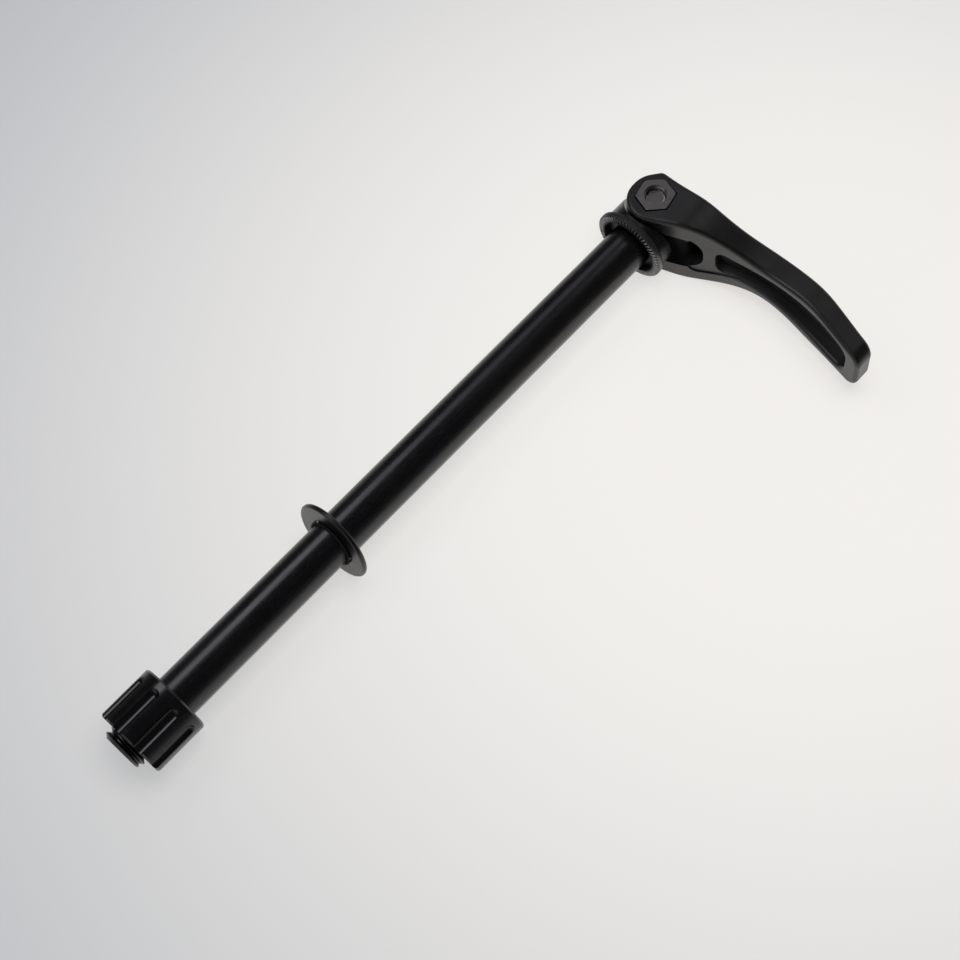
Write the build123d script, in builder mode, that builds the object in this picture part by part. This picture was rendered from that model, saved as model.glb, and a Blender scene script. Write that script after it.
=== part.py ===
from build123d import *

import math
import os

# Quick-lever thru axle, in millimetres.
# The serrated ring's clamping face lies at Y = 0 on the axle's axis, the lever head towards +Y,
# the end nut towards -Y, the closed lever along +X and the pivot along Z with its nut on top.

# Axle
shaft_diameter = 12.0
clamp_length = 165.0  # between the ring's face and the end nut's face
thread_root_diameter = 10.0  # threaded tail, under the thread
thread_stick_out = 2.8  # tail beyond the end nut
tail_chamfer = 0.9
shoulder_depth = 1.2  # how far the plain shaft reaches into the end nut
shoulder_gap = 0.3
running_clearance = 0.06

# Pivot
pivot_height = 11.2  # above the clamping face
bolt_diameter = 6.0
bolt_clearance = 0.05
bolt_recess = 1.6  # bolt end below the pivot nut's face
bolt_chamfer = 0.5
bolt_head_diameter = 9.5
bolt_head_height = 3.0
bolt_head_edge = 0.4
bolt_socket_width = 4.0
bolt_socket_depth = 1.6
nut_width = 9.1  # across flats
nut_height = 3.2
nut_turn = 43.2  # degrees from +X to a corner
nut_chamfer = 0.15
fastener_pocket_depth = 2.8
fastener_pocket_clearance = 0.35

# Lever: runs along X from the pivot, heights along Y measured from the pivot
cam_radius = 7.1  # also the radius of the boss above it
cam_offset = 0.75  # cam centre below the pivot
lever_reach = 69.3  # from the pivot to the tip
fork_length = 15.0
pad_run = 14.0  # from the waist to the pad
tip_run = 21.3  # from the pad to the tip
fork_width = 22.6  # at the pivot
hip_reach = 11.5  # fork's widest place
hip_flare = 1.0  # how far each cheek widens there
waist_width = 13.5
pad_width = 16.3
tip_width = 13.4
heel_share = 0.48  # back edge's start behind the pivot, as a share of the cam's radius
heel_round = 2.0
boss_rise = 0.05  # boss above the fork's back
fork_under = -2.3
waist_back = 9.0
waist_under = 1.95
pad_back = 7.75
pad_under = 1.15
tip_back = 2.1
tip_under = -3.7
tip_corner = 3.6  # seen from below
lever_edge = 1.1
slot_clearance = 0.4  # beside the axle
slot_length = 17.2
slot_corner = 5.6
slot_back_wall = 2.4
eye_clearance = 0.6  # beyond the axle's round end
rail_width = 4.2
recess_depth = 0.45
recess_overlap = 4.0  # start before the slot's end
recess_round = 2.5
pocket_start = 20.4
pocket_end_gap = 4.9  # short of the tip
pocket_start_width = 8.6
pocket_rail = 3.2  # beside the pocket, at the waist and the pad
pocket_tip_rail = 2.5
pocket_depth = 3.4
pocket_round = 2.2
pocket_end_round = 3.2
pocket_lip = 1.2  # rounding of its mouth

# Saddle and serrated ring
ring_diameter = 21.2
ring_width = 2.3  # from its rim to its bore
ring_thickness = 2.2
ring_edge = 0.8
tooth_count = 60
tooth_width = 0.85
tooth_depth = 0.55
land_width = 0.15  # plain inner land of the serrated face
saddle_step = 1.0  # saddle's side inside the ring's rim
saddle_drop = 2.4  # saddle's top below the pivot
saddle_relief = 1.3  # saddle radius beyond the cam's
saddle_edge = 0.4
cam_clearance = 0.25
arm_clearance = 0.4  # under the closed lever's arm
spigot_recess = 1.6  # spigot face behind the clamping face
press_clearance = 0.02

# Washer and the rubber ring that holds it
washer_diameter = 22.8
washer_bore = 13.0
washer_thickness = 1.4
washer_edge = 0.6
washer_bore_edge = 0.2
washer_place = 111.0  # from the clamping face
washer_lean = 9.0  # degrees, top towards the lever
grip_section = 0.7
grip_clearance = 0.04
grip_gap = 0.05  # between the rubber ring and the washer

# End nut
end_nut_diameter = 19.5
end_nut_length = 15.5
end_nut_edge = 0.5
end_nut_bore_clearance = 0.08
flute_count = 9
flute_radius = 1.95
flute_depth = 1.2
flute_end_gap = 2.05  # from the flute's closed end to the nut's face
flute_turn = -3.5  # degrees from +Z towards +X

# Places and radii that follow from the sizes above
shaft_radius = shaft_diameter / 2
root_radius = thread_root_diameter / 2
bolt_radius = bolt_diameter / 2
bore_radius = shaft_radius + running_clearance
nut_face = -clamp_length
nut_end = nut_face - end_nut_length
tail_end = nut_end - thread_stick_out
shoulder = nut_face - shoulder_depth
heel_reach = heel_share * cam_radius
fork_back = cam_radius - boss_rise
fork_half = fork_width / 2
hip_half = fork_half + hip_flare
pad_reach = lever_reach - tip_run
waist_reach = pad_reach - pad_run
slot_width = shaft_diameter + 2 * slot_clearance
eye_reach = shaft_radius + eye_clearance
recess_start = slot_length - recess_overlap
pocket_end = lever_reach - pocket_end_gap
pocket_waist_half = waist_width / 2 - pocket_rail
pocket_pad_half = pad_width / 2 - pocket_rail
pocket_end_half = tip_width / 2 - pocket_tip_rail
pocket_floor = fork_half - fastener_pocket_depth
nut_corner_radius = nut_width / math.sqrt(3)
cam_centre = Vector(0, -cam_offset)
cam_bottom = pivot_height - cam_offset - cam_radius
ring_radius = ring_diameter / 2
ring_bore_radius = ring_radius - ring_width
saddle_half = ring_radius - saddle_step
saddle_radius = cam_radius + saddle_relief
saddle_floor = cam_bottom - cam_clearance
saddle_top = pivot_height - saddle_drop
arm_drop = Vector(0, arm_clearance)
lean = math.radians(washer_lean)
grip_place = -washer_place - (washer_thickness / 2 + grip_gap + grip_section / 2) / math.cos(lean)
grip_radius = shaft_radius / math.cos(lean) + grip_clearance + grip_section / 2
flute_circle = end_nut_diameter / 2 + flute_radius - flute_depth
flute_length = end_nut_length - flute_end_gap - flute_radius
through = lever_reach + fork_width  # longer than any part of the lever

pivot_plane = Plane(origin=(0, pivot_height, 0), x_dir=(1, 0, 0), z_dir=(0, 0, 1))
side_plane = pivot_plane.offset(-through)  # lever seen from the side, beyond its lower cheek
from_left = (Align.MIN, Align.CENTER)
plan_plane = Plane(origin=(0, through, 0), x_dir=(1, 0, 0), z_dir=(0, -1, 0))  # lever seen from its back


def across(height):
    """Plane square to the axle at a height above the clamping face, facing the lever head."""
    return Plane(origin=(0, height, 0), x_dir=(1, 0, 0), z_dir=(0, 1, 0))


def touch_point(point, centre, radius, side):
    """Point where a line from outside touches a circle, on the side given by +1 or -1."""
    to_point = point - centre
    swing = math.acos(radius / to_point.length)
    angle = math.atan2(to_point.Y, to_point.X) + side * swing
    return centre + Vector(radius * math.cos(angle), radius * math.sin(angle))


fork_corner = Vector(fork_length, fork_under)
heel = Vector(-heel_reach, fork_back)
cam_start = touch_point(fork_corner, cam_centre, cam_radius, -1)
cam_end = Vector(-cam_radius, -cam_offset)
boss_start = Vector(-cam_radius, 0)
boss_end = touch_point(heel, Vector(), cam_radius, 1)


def arc_about(centre, start, end):
    """Arc about a centre, shorter than half a turn."""
    middle = ((start + end) * 0.5 - centre).normalized() * (start - centre).length
    return ThreePointArc(start, centre + middle, end)


def under_edge(lift):
    """The lever's lower edge from the fork to the tip, moved up into the lever by lift."""
    return Spline(
        (fork_length, fork_under + lift),
        (waist_reach, waist_under + lift),
        (pad_reach, pad_under + lift),
        (lever_reach, tip_under + lift),
        tangents=(fork_corner - cam_start, Vector(tip_run, tip_under - pad_under)),
    )


def side_edge(inset):
    """One side of the lever seen from below, moved towards its middle by inset."""
    return Spline(
        (0, fork_half - inset),
        (hip_reach, hip_half - inset),
        (waist_reach, waist_width / 2 - inset),
        (pad_reach, pad_width / 2 - inset),
        (lever_reach, tip_width / 2 - inset),
        tangents=(Vector(1, 0), Vector(tip_run, (tip_width - pad_width) / 2)),
    )


# Axle shaft: turned in one piece, with a round end and a cross hole for the pivot
with BuildPart() as axle_shaft:
    with BuildSketch(Plane.XY):
        with BuildLine():
            Polyline(
                (0, pivot_height + shaft_radius),
                (0, tail_end),
                (root_radius - tail_chamfer, tail_end),
                (root_radius, tail_end + tail_chamfer),
                (root_radius, shoulder),
                (shaft_radius, shoulder),
                (shaft_radius, pivot_height),
            )
            CenterArc((0, pivot_height), shaft_radius, 0, 90)
        make_face()
    revolve(axis=Axis.Y)
    with Locations(pivot_plane):
        Hole(radius=bolt_radius + running_clearance)

# Space between the rails: a shallow recess, and under the arm a deep pocket
with BuildPart() as recess_cutter:
    with BuildSketch(plan_plane):
        with BuildLine():
            rail = side_edge(rail_width)
            Line(rail @ 1, (lever_reach, 0))
            Line(rail @ 0, (0, 0))
            mirror(about=Plane.XZ)
        make_face()
        with Locations((recess_start, 0)):
            Rectangle(pocket_end - recess_start, 2 * hip_half, align=from_left, mode=Mode.INTERSECT)
    extrude(amount=2 * through)
    fillet(recess_cutter.edges().filter_by(Axis.Y).group_by(Axis.X)[0], recess_round)
    with BuildSketch(side_plane):
        with BuildLine():
            roof = under_edge(recess_depth)
            roof_start = cam_start + Vector(0, recess_depth)
            Polyline(roof @ 1, (lever_reach, -through), (cam_start.X, -through), roof_start, roof @ 0)
        make_face()
    extrude(amount=2 * through, mode=Mode.INTERSECT)

with BuildPart() as pocket_cutter:
    with BuildSketch(plan_plane):
        with BuildLine():
            wall = Spline(
                (pocket_start, pocket_start_width / 2),
                (waist_reach, pocket_waist_half),
                (pad_reach, pocket_pad_half),
                (pocket_end, pocket_end_half),
            )
            Line(wall @ 0, (pocket_start, 0))
            Line(wall @ 1, (pocket_end, 0))
            mirror(about=Plane.XZ)
        make_face()
    extrude(amount=2 * through)
    fillet(pocket_cutter.edges().filter_by(Axis.Y).group_by(Axis.X)[-1], pocket_end_round)
    fillet(pocket_cutter.edges().filter_by(Axis.Y).group_by(Axis.X)[0], pocket_round)
    with BuildSketch(side_plane):
        with BuildLine():
            roof = under_edge(pocket_depth)
            Polyline(roof @ 1, (lever_reach, -through), (fork_length, -through), roof @ 0)
        make_face()
    extrude(amount=2 * through, mode=Mode.INTERSECT)

# Fork slot: open right through beside the axle's round end, and closed by a back wall beyond it
with BuildPart() as slot_cutter:
    with BuildSketch(plan_plane.offset(through - pivot_height - fork_back + slot_back_wall)):
        with Locations((slot_length, 0)):
            Rectangle(through, slot_width, align=(Align.MAX, Align.CENTER))
    extrude(amount=through)
    fillet(slot_cutter.edges().filter_by(Axis.Y).group_by(Axis.X)[-1], slot_corner)
    with BuildSketch(plan_plane):
        with Locations((eye_reach, 0)):
            Rectangle(through, slot_width, align=(Align.MAX, Align.CENTER))
    extrude(amount=2 * through)

# Lever: a forged arm with a fork whose two cheeks are cams
with BuildPart() as lever:
    with BuildSketch(plan_plane):
        with BuildLine():
            side = side_edge(0)
            Polyline(side @ 0, (-through, fork_half), (-through, 0))
            Line(side @ 1, (lever_reach, 0))
            mirror(about=Plane.XZ)
        make_face()
    extrude(amount=2 * through)
    fillet(lever.edges().filter_by(Axis.Y).group_by(Axis.X)[-1], tip_corner)
    with BuildSketch(side_plane) as side_view:
        with BuildLine():
            under = under_edge(0)
            Line(under @ 0, cam_start)
            arc_about(cam_centre, cam_start, cam_end)
            Line(cam_end, boss_start)
            arc_about(Vector(), boss_start, boss_end)
            Polyline(boss_end, heel, (fork_length, fork_back))
            back = Spline(
                (fork_length, fork_back),
                (waist_reach, waist_back),
                (pad_reach, pad_back),
                (lever_reach, tip_back),
                tangents=(Vector(1, 0), Vector(tip_run, tip_back - pad_back)),
            )
            Line(back @ 1, under @ 1)
        make_face()
        fillet(side_view.vertices().sort_by_distance(heel)[0], heel_round)
    extrude(amount=2 * through, mode=Mode.INTERSECT)
    seams = lever.edges().filter_by(Axis.Y) + lever.edges().filter_by(Axis.Z)
    fillet(lever.edges() - seams, lever_edge)
    add(pocket_cutter.part, mode=Mode.SUBTRACT)
    pocketed = [face for face in lever.faces() if face.inner_wires()]
    fillet(pocketed[0].inner_wires()[0].edges(), pocket_lip)
    add(recess_cutter.part, mode=Mode.SUBTRACT)
    add(slot_cutter.part, mode=Mode.SUBTRACT)
    with Locations(pivot_plane):
        Hole(radius=bolt_radius + bolt_clearance)
    with BuildSketch(pivot_plane.offset(pocket_floor)):
        RegularPolygon(nut_width / 2 + fastener_pocket_clearance, 6, major_radius=False, rotation=nut_turn)
    extrude(amount=through, mode=Mode.SUBTRACT)
    with BuildSketch(pivot_plane.offset(-pocket_floor)):
        Circle(bolt_head_diameter / 2 + fastener_pocket_clearance)
    extrude(amount=-through, mode=Mode.SUBTRACT)

# Pivot bolt: low round head with a hexagon socket, below the lever
with BuildPart() as pivot_bolt:
    with BuildSketch(pivot_plane.offset(-pocket_floor)):
        Circle(bolt_head_diameter / 2)
    extrude(amount=-bolt_head_height)
    fillet(pivot_bolt.edges().group_by(Axis.Z)[0], bolt_head_edge)
    with BuildSketch(pivot_plane.offset(-pocket_floor)):
        Circle(bolt_radius)
    extrude(amount=2 * pocket_floor + nut_height - bolt_recess)
    chamfer(pivot_bolt.edges().group_by(Axis.Z)[-1], bolt_chamfer)
    with BuildSketch(pivot_plane.offset(-pocket_floor - bolt_head_height)):
        RegularPolygon(bolt_socket_width / 2, 6, major_radius=False)
    extrude(amount=bolt_socket_depth, mode=Mode.SUBTRACT)

# Pivot nut: thin hexagon nut with its outer corners turned off
with BuildPart() as pivot_nut:
    with BuildSketch(pivot_plane.offset(pocket_floor)):
        RegularPolygon(nut_width / 2, 6, major_radius=False, rotation=nut_turn)
    extrude(amount=nut_height)
    with BuildSketch(Plane(origin=(0, pivot_height, pocket_floor), x_dir=(1, 0, 0), z_dir=(0, -1, 0))):
        with BuildLine():
            Polyline(
                (0, 0),
                (nut_corner_radius, 0),
                (nut_corner_radius, nut_height - nut_chamfer),
                (nut_corner_radius - 2 * nut_chamfer, nut_height),
                (0, nut_height),
                close=True,
            )
        make_face()
    revolve(axis=Axis((0, pivot_height, 0), (0, 0, 1)), mode=Mode.INTERSECT)
    with Locations(pivot_plane):
        Hole(radius=bolt_radius + bolt_clearance)

# Tooth space: a V groove, its floor up and running out along X
with BuildPart() as tooth_cutter:
    with BuildSketch(Plane.YZ.offset(ring_bore_radius + land_width)):
        Polygon((-tooth_width / 2, 0), (tooth_width / 2, 0), (0, tooth_depth), align=None)
    extrude(amount=ring_radius)

# Serrated ring: V grooves run out from a plain inner land
with BuildPart() as serrated_ring:
    with BuildSketch(across(0)):
        Circle(ring_radius)
        Circle(ring_bore_radius, mode=Mode.SUBTRACT)
    extrude(amount=ring_thickness)
    rim = serrated_ring.edges().filter_by(GeomType.CIRCLE).sort_by(SortBy.RADIUS)[-2:]
    fillet(rim, ring_edge)
    with Locations(across(0)):
        with PolarLocations(0, tooth_count):
            add(tooth_cutter.part, mode=Mode.SUBTRACT)

# Cam saddle: bored for the axle, with a concave seat for the lever's two cams
with BuildPart() as cam_saddle:
    with BuildSketch(across(ring_thickness)):
        Circle(saddle_half)
    extrude(amount=saddle_top - ring_thickness)
    chamfer(cam_saddle.edges().group_by(Axis.Y)[-1], saddle_edge)
    with BuildSketch(across(spigot_recess)):
        Circle(ring_bore_radius - press_clearance)
    extrude(amount=ring_thickness - spigot_recess)
    with BuildSketch(pivot_plane):
        with Locations((0, saddle_floor + saddle_radius - pivot_height)):
            Circle(saddle_radius)
        Polygon(
            cam_start - arm_drop,
            fork_corner - arm_drop,
            (fork_length, fork_back),
            (cam_start.X, fork_back),
            align=None,
        )
    extrude(amount=ring_diameter, both=True, mode=Mode.SUBTRACT)
    with BuildSketch(across(0)):
        Circle(bore_radius)
    extrude(amount=saddle_top, mode=Mode.SUBTRACT)

# Washer: loose on the shaft and leaning on it
washer_axis = (0, math.cos(lean), -math.sin(lean))
washer_plane = Plane(origin=(0, -washer_place, 0), x_dir=(1, 0, 0), z_dir=washer_axis)
with BuildPart() as washer:
    with BuildSketch(washer_plane.offset(-washer_thickness / 2)):
        Circle(washer_diameter / 2)
        Circle(washer_bore / 2, mode=Mode.SUBTRACT)
    extrude(amount=washer_thickness)
    rims = washer.edges().filter_by(GeomType.CIRCLE).sort_by(SortBy.RADIUS)
    fillet(rims[2:], washer_edge)
    fillet(rims[:2], washer_bore_edge)

# Rubber ring: grips the shaft beside the washer, on the end nut's side
with BuildPart() as grip_ring:
    with Locations(Plane(origin=(0, grip_place, 0), x_dir=(1, 0, 0), z_dir=washer_axis)):
        Torus(grip_radius, grip_section / 2)

# Flute: a round bar along Z with a ball-shaped end
with BuildPart() as flute_cutter:
    with BuildSketch(Plane.XY.offset(nut_end)):
        Circle(flute_radius)
    extrude(amount=flute_length)
    with Locations((0, 0, nut_end + flute_length)):
        Sphere(flute_radius)

# End nut: nine flutes open at the outer end, and a bore that steps up for the shaft's shoulder
with BuildPart() as end_nut:
    with BuildSketch(across(nut_end)):
        Circle(end_nut_diameter / 2)
    extrude(amount=end_nut_length)
    chamfer(end_nut.edges().filter_by(GeomType.CIRCLE), end_nut_edge)
    with Locations(across(0)):
        with PolarLocations(flute_circle, flute_count, start_angle=flute_turn - 90):
            add(flute_cutter.part, mode=Mode.SUBTRACT)
    with BuildSketch(across(nut_end)):
        Circle(root_radius + end_nut_bore_clearance)
    extrude(amount=end_nut_length, mode=Mode.SUBTRACT)
    with BuildSketch(across(nut_face)):
        Circle(bore_radius)
    extrude(amount=-shoulder_depth - shoulder_gap, mode=Mode.SUBTRACT)

parts = {
    "axle_shaft": axle_shaft,
    "lever": lever,
    "pivot_bolt": pivot_bolt,
    "pivot_nut": pivot_nut,
    "serrated_ring": serrated_ring,
    "cam_saddle": cam_saddle,
    "washer": washer,
    "grip_ring": grip_ring,
    "end_nut": end_nut,
}
os.makedirs("parts", exist_ok=True)
for name, piece in parts.items():
    piece.part.label = name
    export_step(piece.part, f"parts/{name}.step")
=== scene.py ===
import math

import bmesh
import bpy
from mathutils import Matrix, Vector


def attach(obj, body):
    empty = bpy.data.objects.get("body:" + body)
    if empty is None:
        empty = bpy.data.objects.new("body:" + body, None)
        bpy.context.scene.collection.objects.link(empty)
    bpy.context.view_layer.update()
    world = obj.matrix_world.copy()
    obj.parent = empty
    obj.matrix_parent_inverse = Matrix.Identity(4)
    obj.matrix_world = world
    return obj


# Looks of a quick-lever thru axle: materials for every piece of the frame, the threads on the tail and
# in the pivot nut, and a pale table under soft light. Lengths are in metres unless marked mm.
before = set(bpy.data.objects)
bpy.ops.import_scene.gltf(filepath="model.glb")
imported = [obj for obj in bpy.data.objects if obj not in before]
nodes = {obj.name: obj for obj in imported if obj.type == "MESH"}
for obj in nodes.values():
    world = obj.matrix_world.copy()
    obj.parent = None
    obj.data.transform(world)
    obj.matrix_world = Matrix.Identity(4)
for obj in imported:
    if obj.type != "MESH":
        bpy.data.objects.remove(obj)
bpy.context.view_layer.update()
mm = 0.001

# Sizes taken over from the solids, mm
axis_height = 11.2  # pivot above the clamping face
lever_reach = 70.0  # tip of the lever from the axle's axis
pocket_start = (19.5, 23.0)  # where the lever's pocket begins along the lever
nut_end = -180.5  # outer face of the end nut
tail_end = -183.3  # end of the threaded tail
ring_bore = 8.3  # radius of the serrated ring's bore
ring_back = 2.2  # back of the serrated ring


class Nodes:
    """Short calls that add nodes to a node tree."""

    bevel_samples = 6
    hollow_samples = 8

    def __init__(self, tree, coordinates):
        self.tree = tree
        self.place = self.node("ShaderNodeTexCoord").outputs[coordinates]

    def node(self, kind, **settings):
        made = self.tree.nodes.new(kind)
        for key, value in settings.items():
            setattr(made, key, value)
        return made

    def feed(self, socket, value):
        if isinstance(value, bpy.types.NodeSocket):
            self.tree.links.new(value, socket)
        else:
            socket.default_value = value

    def calc(self, operation, *values, clamp=False):
        made = self.node("ShaderNodeMath", operation=operation, use_clamp=clamp)
        for socket, value in zip(made.inputs, values):
            self.feed(socket, value)
        return made.outputs[0]

    def product(self, first, second):
        return self.calc("MULTIPLY", first, second)

    def larger(self, first, second):
        return self.calc("MAXIMUM", first, second)

    def vector_calc(self, operation, first, second):
        made = self.node("ShaderNodeVectorMath", operation=operation)
        self.feed(made.inputs[0], first)
        self.feed(made.inputs[1], second)
        return made.outputs

    def parts(self):
        made = self.node("ShaderNodeSeparateXYZ")
        self.feed(made.inputs[0], self.place)
        return made.outputs

    def stretch(self, factors):
        return self.vector_calc("MULTIPLY", self.place, factors)[0]

    def from_axis(self, keep, centre=(0, 0, 0)):
        """Distance from an axis through the centre, along the direction that keep leaves out."""
        shifted = self.vector_calc("SUBTRACT", self.place, centre)[0]
        flat = self.vector_calc("MULTIPLY", shifted, keep)[0]
        made = self.node("ShaderNodeVectorMath", operation="LENGTH")
        self.feed(made.inputs[0], flat)
        return made.outputs["Value"]

    def noise(self, size_mm, detail, rough, vector=None):
        """Noise whose blobs are about size_mm across."""
        made = self.node("ShaderNodeTexNoise")
        self.feed(made.inputs["Vector"], self.place if vector is None else vector)
        made.inputs["Scale"].default_value = 1 / (size_mm * mm)
        made.inputs["Detail"].default_value = detail
        made.inputs["Roughness"].default_value = rough
        return made.outputs[0]

    def steps(self, value, low, high, to_low=0.0, to_high=1.0):
        """Smooth step from to_low at low to to_high at high."""
        made = self.node("ShaderNodeMapRange", interpolation_type="SMOOTHSTEP")
        for socket, given in zip(made.inputs, (value, low, high, to_low, to_high)):
            self.feed(socket, given)
        return made.outputs[0]

    def blend(self, factor, first, second):
        made = self.node("ShaderNodeMix", data_type="RGBA")
        self.feed(made.inputs["Factor"], factor)
        for socket, value in zip([s for s in made.inputs if s.type == "RGBA"], (first, second)):
            self.feed(socket, value)
        return [s for s in made.outputs if s.type == "RGBA"][0]

    def edges(self, radius_mm):
        """1 on a sharp edge, 0 on a flat face."""
        bevel = self.node("ShaderNodeBevel", samples=self.bevel_samples)
        bevel.inputs["Radius"].default_value = radius_mm * mm
        flat = self.node("ShaderNodeNewGeometry").outputs["True Normal"]
        alike = self.vector_calc("DOT_PRODUCT", bevel.outputs[0], flat)["Value"]
        return self.calc("SUBTRACT", 1.0, alike, clamp=True)

    def edge_wear(self, radius_mm, sharp, patch_mm, patch):
        """1 where a sharp edge has worn, in patches; sharp and patch are the ranges of the two steps."""
        edge = self.steps(self.edges(radius_mm), *sharp)
        return self.product(edge, self.steps(self.noise(patch_mm, 4, 0.7), *patch))

    def hollows(self, distance_mm, deep=0.15, open_face=0.55):
        """1 deep inside a hollow, 0 on an open face."""
        made = self.node("ShaderNodeAmbientOcclusion", samples=self.hollow_samples)
        made.inputs["Distance"].default_value = distance_mm * mm
        return self.steps(made.outputs["AO"], deep, open_face, 1.0, 0.0)

    def bump(self, height, depth_mm, onto=None):
        made = self.node("ShaderNodeBump")
        made.inputs["Strength"].default_value = 1.0
        made.inputs["Distance"].default_value = depth_mm * mm
        self.feed(made.inputs["Height"], height)
        if onto is not None:
            self.feed(made.inputs["Normal"], onto)
        return made.outputs[0]


class Shader(Nodes):
    """A Principled material."""

    def __init__(self, name, **inputs):
        self.material = bpy.data.materials.new(name)
        self.material.use_nodes = True
        super().__init__(self.material.node_tree, "Object")
        self.bsdf = self.tree.nodes["Principled BSDF"]
        self.set(**inputs)

    def set(self, **sockets):
        for key, value in sockets.items():
            self.feed(self.bsdf.inputs[key.replace("_", " ")], value)


def grey(level, warm=0.0):
    return (level * (1 + warm), level, level * (1 - warm), 1)


noise_span = (0.3, 0.7)  # where most of a noise's values lie
anodic_ior = 1.6  # sealed anodic layer
clean_gloss = 0.5  # specular level of a clean face


def anodised(name, rough, along=None, ring_recess_shade=False):
    """Black anodised aluminium: faint mottling, fine scratches, worn edges, and painted shade that dulls
    the reflections in hollows.
    """
    dark, pale, bare = (0.0018, 0.0017, 0.0022, 1), (0.0034, 0.0032, 0.0038, 1), grey(0.05)
    drawn_out = 0.02  # squeezes a noise along the marks
    wear_share = 0.6
    shaded_gloss = 0.06
    shade_edge = 0.2  # mm
    s = Shader(name, IOR=anodic_ior)
    if along == "Y":
        streaks = s.noise(0.35, 3, 0.6, s.stretch((1, drawn_out, 1)))
        rings = s.noise(0.3, 2, 0.5, s.stretch((drawn_out, 1, drawn_out)))
    else:
        streaks = s.noise(0.5, 3, 0.6)
        rings = s.noise(0.25, 2, 0.5)
    smudge = s.noise(14, 3, 0.6)
    wear = s.edge_wear(0.25, (0.02, 0.25), 1.2, (0.42, 0.7))
    s.set(Base_Color=s.blend(s.product(wear, wear_share), s.blend(smudge, dark, pale), bare))
    shine = s.steps(smudge, 0.25, 0.75, rough - 0.035, rough + 0.05)
    s.set(Roughness=s.calc("ADD", shine, s.steps(streaks, *noise_span, -0.03, 0.03)))
    # Painted shade: reflections dulled in hollows and, on the saddle, deep inside the serrated ring.
    painted_shade = s.hollows(3)
    if ring_recess_shade:
        depth = s.steps(s.parts()["Y"], ring_back * mm, (ring_back - shade_edge) * mm)
        painted_shade = s.larger(painted_shade, depth)
    s.set(Specular_IOR_Level=s.steps(painted_shade, 0.0, 1.0, clean_gloss, shaded_gloss))
    s.set(Normal=s.bump(streaks, 0.003, onto=s.bump(rings, 0.004)))
    return s.material


def blasted():
    """The lever's finish: fine blasted and black anodised, with painted light that makes the hollow of
    its pocket paler.
    """
    dark, pale = (0.0022, 0.0021, 0.0024, 1), (0.0042, 0.004, 0.0044, 1)
    pocket_painted_light, bare = grey(0.05), grey(0.045)
    wear_share = 0.5
    s = Shader("lever_black", IOR=anodic_ior)
    cloud = s.noise(9, 4, 0.6)
    wear = s.edge_wear(0.35, (0.03, 0.3), 1.6, (0.45, 0.72))
    # Painted light: past the web, the pocket's hollow gets a paler base colour.
    past_web = s.steps(s.parts()["X"], *[x * mm for x in pocket_start])
    pocket = s.product(s.hollows(8, deep=0.25, open_face=0.85), past_web)
    tone = s.blend(pocket, s.blend(cloud, dark, pale), pocket_painted_light)
    s.set(Base_Color=s.blend(s.product(wear, wear_share), tone, bare))
    s.set(Roughness=s.steps(cloud, *noise_span, 0.33, 0.42))
    s.set(Normal=s.bump(s.noise(0.16, 2, 0.6), 0.006))
    return s.material


def steel():
    """Dull plated steel of the pivot bolt and its nut: turning marks about the pivot, paler edges, and a
    painted highlight as a pale ring about the pivot.
    """
    dark, pale, bright_tone = grey(0.165, 0.05), grey(0.3, 0.04), grey(0.6, 0.02)
    rim_inside, rim_outside = (1.9, 2.2), (2.95, 2.75)  # radii, mm
    s = Shader("fastener_steel", Metallic=1.0)
    radius = s.from_axis((1, 1, 0), (0, axis_height * mm, 0))
    turning = s.noise(0.16, 2, 0.5, radius)
    blotch = s.noise(2.2, 4, 0.65)
    inside, outside = [s.steps(radius, *[r * mm for r in span]) for span in (rim_inside, rim_outside)]
    # Painted highlight: a pale ring, in patches, 2 to 3 mm out from the pivot.
    painted_highlight = s.product(s.product(inside, outside), s.steps(s.noise(0.8, 3, 0.6), 0.4, 0.6))
    bright = s.larger(s.steps(s.edges(0.2), 0.02, 0.3, 0.0, 0.6), painted_highlight)
    s.set(Base_Color=s.blend(bright, s.blend(blotch, dark, pale), bright_tone))
    s.set(Roughness=s.steps(blotch, *noise_span, 0.36, 0.5))
    s.set(Normal=s.bump(turning, 0.012, onto=s.bump(s.noise(0.14, 2, 0.5), 0.004)))
    return s.material


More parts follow.
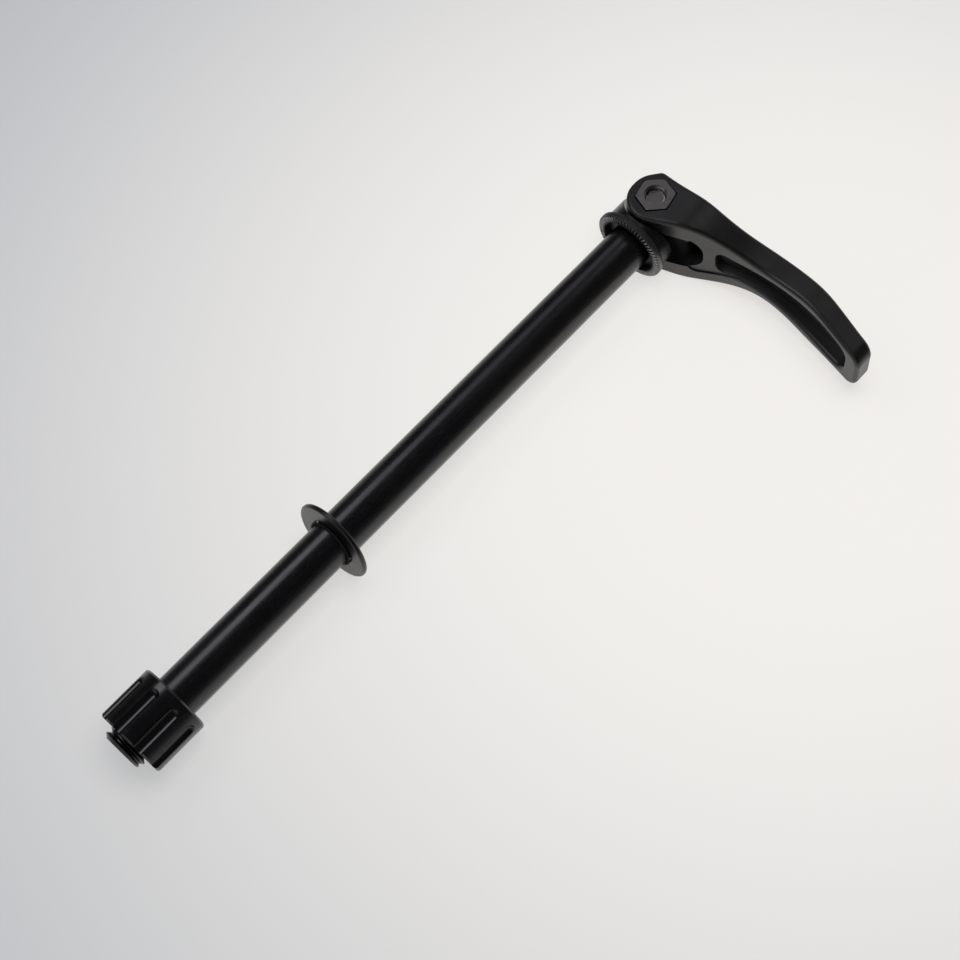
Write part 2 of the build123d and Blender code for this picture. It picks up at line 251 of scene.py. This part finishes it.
def blackened():
    """Blackened ring: tooth crests worn bright, with painted shade that dims this wear toward the middle
    under the lever and dulls the reflections in its grooves, in its bore and on its top.
    """
    dark, pale, rubbed_tone = grey(0.006), grey(0.016), grey(0.66)
    crest_depth = 0.2  # mm
    side_start, side_full = 3.5, 7.0  # mm from the middle
    # Painted shade on the ring's top, under the lever's cheek: heights above the axis, and its share.
    top_start, top_full, top_shade = 3.0, 9.0, 0.75  # mm above the axis, and share
    worn_metal = 0.9
    shaded_gloss, shaded_rough = 0.08, 0.3
    s = Shader("ring_steel", IOR=2.0)
    place = s.parts()
    cloud = s.noise(1.4, 4, 0.65)
    crest = s.steps(place["Y"], crest_depth * mm, 0.0)
    # Painted shade: crest wear fades from its full share away from the middle to 0.12 of it in the
    # middle, where the lever shades the ring.
    unshaded_share = s.steps(s.calc("ABSOLUTE", place["X"]), side_start * mm, side_full * mm, 0.12, 1.0)
    crest_wear_shaded = s.product(s.product(crest, s.steps(s.noise(0.9, 3, 0.7), 0.32, 0.5)), unshaded_share)
    radius = s.from_axis((1, 0, 1))
    outer = s.steps(radius, (ring_bore + 0.2) * mm, (ring_bore + 0.7) * mm)
    worn = s.product(s.larger(crest_wear_shaded, s.product(s.steps(s.edges(0.2), 0.05, 0.35), 0.5)), outer)
    s.set(Base_Color=s.blend(worn, s.blend(cloud, dark, pale), rubbed_tone))
    s.set(Metallic=s.product(worn, worn_metal))
    # Painted shade dulls the reflections in hollows, in the bore and on the top: less specular, more
    # roughness.
    in_bore = s.steps(radius, (ring_bore + 0.3) * mm, ring_bore * mm)
    on_top = s.steps(place["Z"], top_start * mm, top_full * mm, 0.0, top_shade)
    painted_shade = s.larger(s.larger(s.hollows(2.5), in_bore), on_top)
    s.set(Specular_IOR_Level=s.steps(painted_shade, 0.0, 1.0, clean_gloss, shaded_gloss))
    shine = s.steps(cloud, *noise_span, 0.26, 0.4)
    s.set(Roughness=s.calc("ADD", shine, s.product(painted_shade, shaded_rough)))
    s.set(Normal=s.bump(s.noise(0.18, 2, 0.6), 0.006))
    return s.material


def rubber():
    """Matte black rubber."""
    s = Shader("black_rubber", IOR=1.5, Specular_IOR_Level=0.15)
    cloud = s.noise(1.1, 3, 0.6)
    s.set(Base_Color=s.blend(cloud, grey(0.006), grey(0.014)))
    s.set(Roughness=s.steps(cloud, *noise_span, 0.62, 0.8))
    s.set(Normal=s.bump(s.noise(0.2, 3, 0.6), 0.01))
    return s.material


shaft_finish = anodised("black_anodised_shaft", 0.27, along="Y")
finishes = {
    "axle_shaft": shaft_finish,
    "lever": blasted(),
    "pivot_bolt": steel(),
    "serrated_ring": blackened(),
    "cam_saddle": anodised("black_anodised_saddle", 0.3, ring_recess_shade=True),
    "washer": anodised("black_anodised", 0.3),
    "grip_ring": rubber(),
    "end_nut": anodised("black_anodised_nut", 0.21),
}
finishes["pivot_nut"] = finishes["pivot_bolt"]
for name, finish in finishes.items():
    mesh = nodes[name].data
    mesh.materials.clear()
    mesh.materials.append(finish)

# Threads, as sleeves: on the tail beyond the end nut, and in the pivot nut above the bolt's end. In mm.
thread_start = nut_end - 0.05
thread_stop = tail_end + 0.02
thread_pitch = 1.75
thread_crest = 5.88
thread_root = 5.01
thread_turn = 0.2  # share of a turn
end_radius = 5.0  # chamfered end
end_slope = 1.0
core_radius = 4.0
nut_thread_start = 10.14  # just above the bolt's end
nut_thread_stop = 11.45
nut_thread_pitch = 0.75
nut_thread_crest = 2.7
nut_thread_root = 3.0
nut_bore = 3.04
nut_mouth_slope = 1.0
flank_start = 0.14  # flat groove floor, as a share of half a pitch
flank_run = 0.72
ring_points = 144
rows = 48


def thread_form(phase):
    """0 on the groove's floor, 1 on the crest, for a phase of 0 to 1 along one pitch."""
    return min(max((abs(phase % 1.0 - 0.5) * 2 - flank_start) / flank_run, 0), 1)


def tail_radius(turn, y):
    """Outer radius of the threaded tail, in mm, at a share of a turn and a place along the axle."""
    rise = thread_form((y - thread_start) / thread_pitch + turn + thread_turn)
    limit = end_radius + (y - thread_stop) * end_slope
    return min(thread_root + rise * (thread_crest - thread_root), limit)


def nut_radius(turn, z):
    """Inner radius of the pivot nut's thread, in mm, widening to the nut's face."""
    rise = thread_form((z - nut_thread_start) / nut_thread_pitch - turn)
    mouth = nut_bore - (nut_thread_stop - z) * nut_mouth_slope
    return max(nut_thread_root - rise * (nut_thread_root - nut_thread_crest), mouth)


def sleeve(name, start, stop, first_side, second_side, place, finish):
    """Closed ring between two surfaces given as radii over the turn and the height."""
    heights = [start + (stop - start) * row / rows for row in range(rows + 1)]
    form = bmesh.new()
    loops = []
    for side, levels in ((first_side, heights), (second_side, heights[::-1])):
        for level in levels:
            loop = []
            for i in range(ring_points):
                radius = side(i / ring_points, level) * mm
                angle = 2 * math.pi * i / ring_points
                point = place(radius * math.sin(angle), radius * math.cos(angle), level * mm)
                loop.append(form.verts.new(point))
            loops.append(loop)
    for first, second in zip(loops, loops[1:] + loops[:1]):
        for i in range(ring_points):
            j = (i + 1) % ring_points
            form.faces.new((first[i], first[j], second[j], second[i]))
    bmesh.ops.recalc_face_normals(form, faces=form.faces)
    mesh = bpy.data.meshes.new(name)
    form.to_mesh(mesh)
    form.free()
    mesh.materials.append(finish)
    piece = bpy.data.objects.new(name, mesh)
    bpy.context.scene.collection.objects.link(piece)
    return piece


def about_axle(a, b, level):
    return (a, level, b)


def about_pivot(a, b, level):
    return (a, axis_height * mm + b, level)


tail_thread = sleeve(
    "tail_thread", thread_start, thread_stop,
    tail_radius, lambda turn, y: core_radius, about_axle, shaft_finish,
)
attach(tail_thread, "axle")
nut_thread = sleeve(
    "nut_thread", nut_thread_start, nut_thread_stop,
    nut_radius, lambda turn, z: nut_bore, about_pivot, finishes["pivot_nut"],
)
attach(nut_thread, "lever")

# Table: touches the lever's fork and the washer
table_reach = 15.0
table_drop = 12.32 * mm
table_pitch = math.radians(0.46)
near_pale = (0.905, 0.885, 0.852, 1)
far_pale = (0.45, 0.47, 0.505, 1)
# Painted pool of light: the table's glow is palest and warmest about this spot
bright_spot = (0.06, -0.009, 0)  # beside the lever
spot_fade = (0.05, 0.31)  # from near_pale to far_pale
glow_fade = (0.3, 0.9)  # from near_glow to a glow alone
near_glow = 0.75
mirror_fade = (0.02, 0.12)  # reflections lose up to mirror_loss away from the part
mirror_loss = 0.75


def pale_table():
    """Pale light table that glows: a painted pool of warm light beside the lever fades to a cooler,
    darker tone away from it. Seen directly or in a reflection, most of its brightness is its own glow,
    so the object's shadow on it stays faint."""
    s = Shader("pale_table", Roughness=0.85, Specular_IOR_Level=0.1)
    s.set(Base_Color=s.blend(s.noise(40, 3, 0.6), (0.86, 0.86, 0.855, 1), (0.88, 0.875, 0.865, 1)))
    from_spot = s.vector_calc("DISTANCE", s.place, bright_spot)["Value"]
    path = s.node("ShaderNodeLightPath")
    mirrored = path.outputs["Is Glossy Ray"]
    place = s.parts()
    along_lever = s.calc("MINIMUM", s.larger(place["X"], 0.0), lever_reach * mm)
    past_lever = s.calc("ABSOLUTE", s.calc("SUBTRACT", place["X"], along_lever))
    from_lever = s.larger(past_lever, s.calc("ABSOLUTE", place["Y"]))
    away = s.calc("MINIMUM", s.calc("ABSOLUTE", place["X"]), from_lever)
    loss = s.product(mirrored, s.steps(away, *mirror_fade, 0.0, mirror_loss))
    glow = s.node("ShaderNodeEmission")
    s.feed(glow.inputs["Color"], s.blend(s.steps(from_spot, *spot_fade), near_pale, far_pale))
    s.feed(glow.inputs["Strength"], s.calc("SUBTRACT", 1.0, loss))
    seen = s.larger(path.outputs["Is Camera Ray"], mirrored)
    both = s.node("ShaderNodeMixShader")
    s.feed(both.inputs[0], s.product(seen, s.steps(from_spot, *glow_fade, near_glow, 1.0)))
    s.feed(both.inputs[1], s.bsdf.outputs[0])
    s.feed(both.inputs[2], glow.outputs[0])
    s.feed(s.tree.nodes["Material Output"].inputs["Surface"], both.outputs[0])
    return s.material


table_mesh = bpy.data.meshes.new("table")
corners = [(-1, -1), (1, -1), (1, 1), (-1, 1)]
table_mesh.from_pydata([(x * table_reach, y * table_reach, 0) for x, y in corners], [], [(0, 1, 2, 3)])
table_mesh.materials.append(pale_table())
table = bpy.data.objects.new("table", table_mesh)
table_place = Matrix.Translation((0, axis_height * mm, -table_drop))
table.matrix_world = table_place @ Matrix.Rotation(-table_pitch, 4, "X")
bpy.context.scene.collection.objects.link(table)


def area_light(name, place, aim, size, power, colour, glossy=True):
    """Rectangular lamp, in watts, that the camera doesn't see."""
    light = bpy.data.lights.new(name, "AREA")
    light.shape = "RECTANGLE"
    light.size, light.size_y = size
    light.energy = power
    light.color = colour
    thing = bpy.data.objects.new(name, light)
    thing.location = place
    thing.rotation_euler = (Vector(aim) - Vector(place)).to_track_quat("-Z", "Y").to_euler()
    thing.visible_glossy = glossy
    thing.visible_camera = False
    bpy.context.scene.collection.objects.link(thing)


# Two windows on the left make the band on the shaft, a small lamp behind lights the lever's pad, and the
# fill lights the table
cool, cooler, warm, warmer = (0.95, 0.94, 1.0), (0.93, 0.92, 1.0), (1.0, 0.98, 0.97), (1.0, 0.985, 0.965)
area_light("window_near", (-0.225, -0.14, 0.39), (0, -0.14, 0), (0.28, 0.2), 0.36, cooler)
area_light("window_far", (-0.265, 0.16, 0.38), (0, 0.16, 0), (0.34, 0.2), 0.12, cool)
area_light("back", (0.0, 0.22, 0.4), (0.0, 0.18, 0), (0.14, 0.1), 0.05, warm)
area_light("fill", (0.1, 0.0, 0.46), (0.095, 0.0, 0), (0.3, 0.3), 1.9, warmer, glossy=False)

# Room: dark overhead, paler low down and at both ends of the axle; the camera sees the table's far tone
room_colour = (0.98, 0.97, 1.0, 1)
overhead, low_down, at_ends = 0.03, 0.12, 0.4  # strengths
low_fade = (0.45, 0.0)  # over the direction's height
end_fade = (0.6, 0.95)  # over the direction's share along the axle
world = bpy.data.worlds.new("studio")
bpy.context.scene.world = world
world.use_nodes = True
w = Nodes(world.node_tree, "Generated")
toward = w.parts()
low = w.steps(toward["Z"], *low_fade, overhead, low_down)
ends = w.steps(w.calc("ABSOLUTE", toward["Y"]), *end_fade, 0.0, at_ends)
room = w.tree.nodes["Background"]
room.inputs["Color"].default_value = room_colour
w.feed(room.inputs["Strength"], w.calc("ADD", low, ends))
seen = w.node("ShaderNodeBackground")
seen.inputs["Color"].default_value = far_pale
which = w.node("ShaderNodeMixShader")
w.feed(which.inputs[0], w.node("ShaderNodeLightPath").outputs["Is Camera Ray"])
w.feed(which.inputs[1], room.outputs[0])
w.feed(which.inputs[2], seen.outputs[0])
w.feed(w.tree.nodes["World Output"].inputs["Surface"], which.outputs[0])

# Camera, fitted to the photograph
right = Vector((0.72561, 0.68078, -0.09879))
down = Vector((0.59128, -0.69061, -0.41615))
into = Vector((-0.35162, 0.2436, -0.90389))
eye = Vector((0.16817, -0.18018, 0.3899))
lens = bpy.data.cameras.new("camera")
lens.sensor_width = 36
lens.lens = 64.57
lens.clip_start = 0.01
camera = bpy.data.objects.new("camera", lens)
camera.matrix_world = Matrix.Translation(eye) @ Matrix((right, -down, -into)).transposed().to_4x4()
bpy.context.scene.collection.objects.link(camera)
bpy.context.scene.camera = camera
bpy.context.scene.view_settings.view_transform = "Standard"
